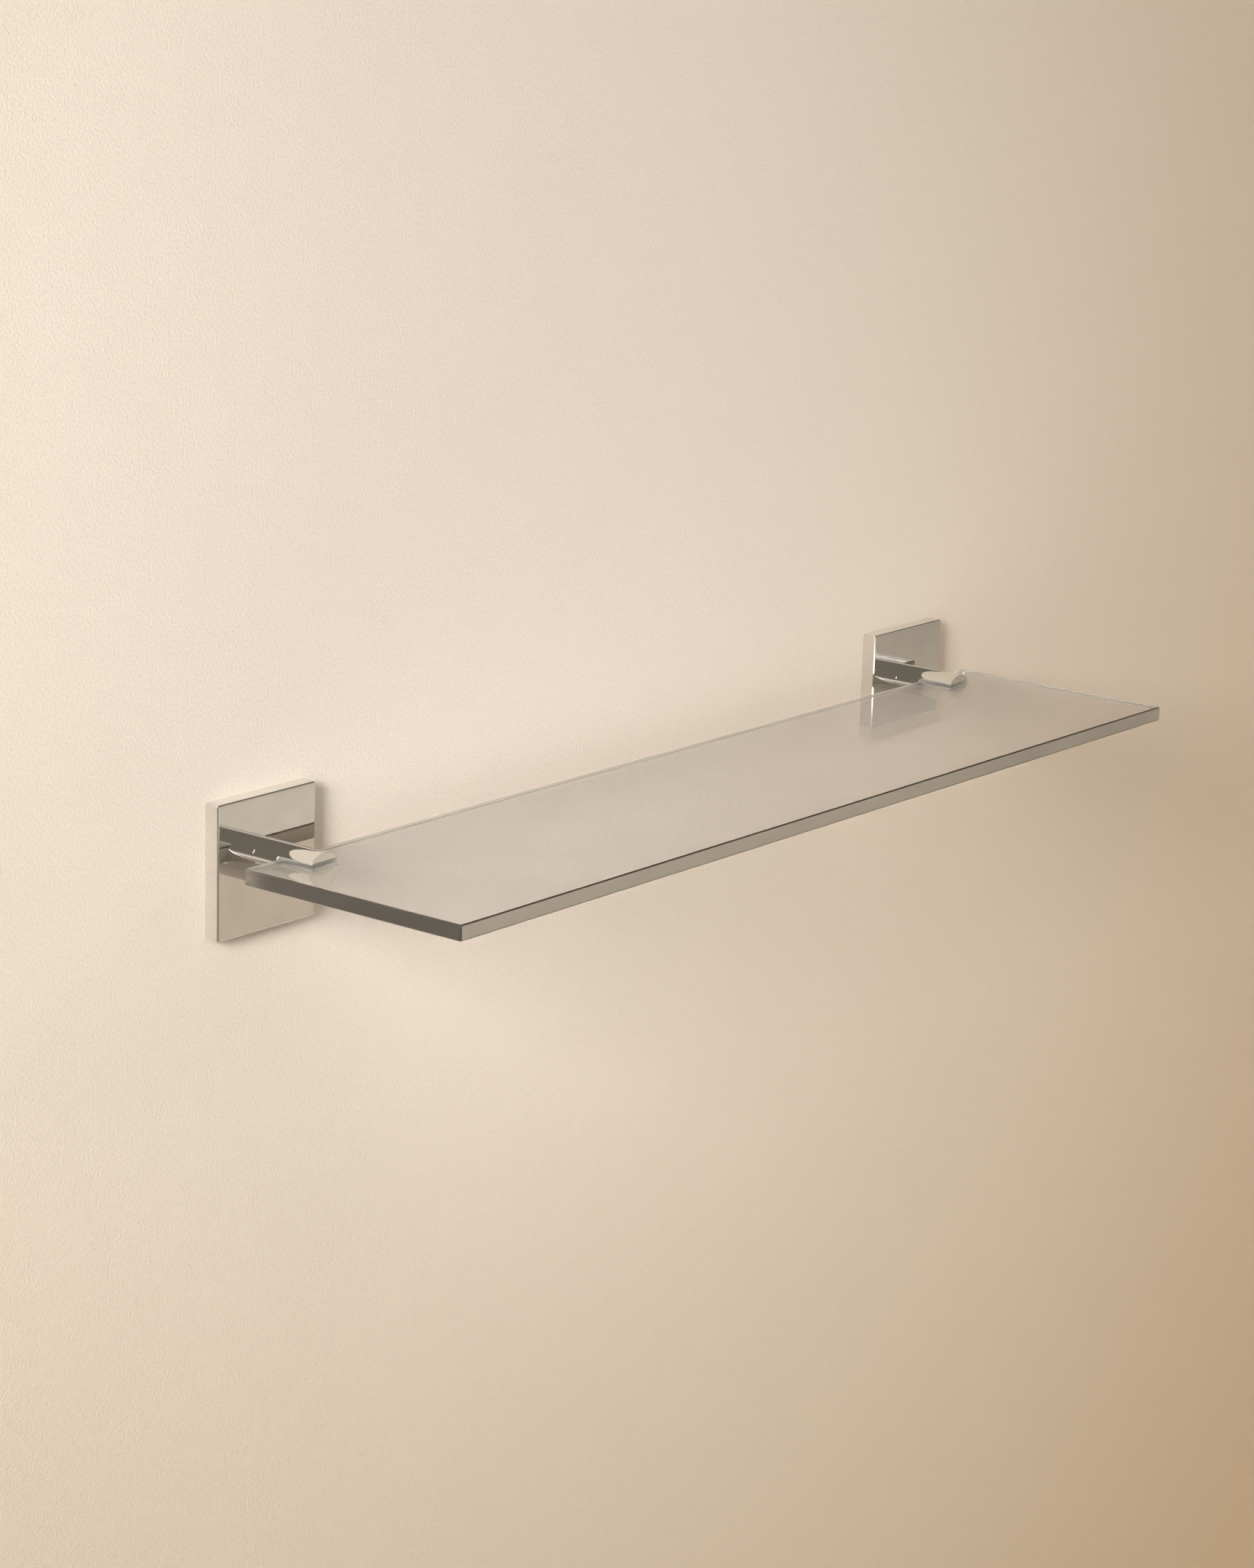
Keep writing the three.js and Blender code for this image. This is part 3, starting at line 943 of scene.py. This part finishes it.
def area_light(name, place, aim, width, height, power, colour, spread=180, chrome_only=False):
    """A soft box at place that faces aim. It lights matt surfaces, or else only shows in the chrome."""
    lamp = bpy.data.lights.new(name, "AREA")
    lamp.shape = "RECTANGLE"
    lamp.size, lamp.size_y = width, height
    lamp.spread = math.radians(spread)
    lamp.energy = power
    lamp.color = colour
    holder = bpy.data.objects.new(name, lamp)
    holder.location = place
    holder.rotation_euler = (Vector(aim) - Vector(place)).to_track_quat("-Z", "Y").to_euler()
    holder.visible_camera = False
    holder.visible_glossy = chrome_only
    holder.visible_diffuse = not chrome_only
    bpy.context.scene.collection.objects.link(holder)


def studio_world():
    """Soft light from all round. Chrome mirrors it as a bright band over the horizon, with dim room above."""
    world = bpy.data.worlds.new("studio")
    bpy.context.scene.world = world
    world.use_nodes = True
    tree = world.node_tree
    soft = tree.nodes["Background"]
    soft.inputs["Color"].default_value = SOFT_LIGHT
    soft.inputs["Strength"].default_value = SOFT_STRENGTH
    height = tree.nodes.new("ShaderNodeSeparateXYZ")
    tree.links.new(tree.nodes.new("ShaderNodeTexCoord").outputs["Generated"], height.inputs[0])
    shades = tree.nodes.new("ShaderNodeValToRGB")
    stops = shades.color_ramp.elements
    for stop, (level, shade) in zip(stops, (MIRRORED_ROOM[0], MIRRORED_ROOM[-1])):
        stop.position, stop.color = level, shade
    for level, shade in MIRRORED_ROOM[1:-1]:
        stops.new(level).color = shade
    tree.links.new(height.outputs["Z"], shades.inputs["Fac"])
    mirrored = tree.nodes.new("ShaderNodeBackground")
    tree.links.new(shades.outputs["Color"], mirrored.inputs["Color"])
    mix = tree.nodes.new("ShaderNodeMixShader")
    tree.links.new(tree.nodes.new("ShaderNodeLightPath").outputs["Is Glossy Ray"], mix.inputs["Fac"])
    tree.links.new(soft.outputs["Background"], mix.inputs[1])
    tree.links.new(mirrored.outputs["Background"], mix.inputs[2])
    tree.links.new(mix.outputs["Shader"], tree.nodes["World Output"].inputs["Surface"])


wall()
floor()
area_light("key", (-2.1, -0.8, 0.75), (-0.1, 0, 0), 0.6, 0.6, power=8.6, colour=KEY_WHITE, spread=60)
area_light("floor_box", (2.3, -2.3, 1.3), (2.3, -2.3, -1), 1.2, 1.2, power=30, colour=WARM_WHITE)
area_light(
    "spark", (-1.3, -0.45, 1.2), (-0.1, 0, 0), 0.5, 0.5, power=26, colour=GLINT_WHITE, chrome_only=True
)
area_light(
    "glint", (-0.93, -1.62, -0.44), (0.2, 0, 0), 0.2, 0.05, power=0.25, colour=GLINT_WHITE, chrome_only=True
)
studio_world()

# ---- camera ----


def aimed_camera():
    """Turned by CAMERA_YAW from the wall's normal, tipped down by CAMERA_PITCH, and leant by CAMERA_ROLL."""
    forward = Vector((
        math.sin(CAMERA_YAW) * math.cos(CAMERA_PITCH),
        math.cos(CAMERA_YAW) * math.cos(CAMERA_PITCH),
        -math.sin(CAMERA_PITCH),
    ))
    level = Vector((math.cos(CAMERA_YAW), -math.sin(CAMERA_YAW), 0))
    upright = level.cross(forward)
    right = math.cos(CAMERA_ROLL) * level + math.sin(CAMERA_ROLL) * upright
    up = -math.sin(CAMERA_ROLL) * level + math.cos(CAMERA_ROLL) * upright
    data = bpy.data.cameras.new("camera")
    data.lens = CAMERA_LENS
    data.sensor_width = CAMERA_SENSOR
    camera = bpy.data.objects.new("camera", data)
    turn = Matrix((right, up, -forward)).transposed().to_4x4()
    camera.matrix_world = Matrix.Translation(CAMERA_PLACE) @ turn
    bpy.context.scene.collection.objects.link(camera)
    bpy.context.scene.camera = camera


aimed_camera()
bpy.context.scene.view_settings.view_transform = "Standard"
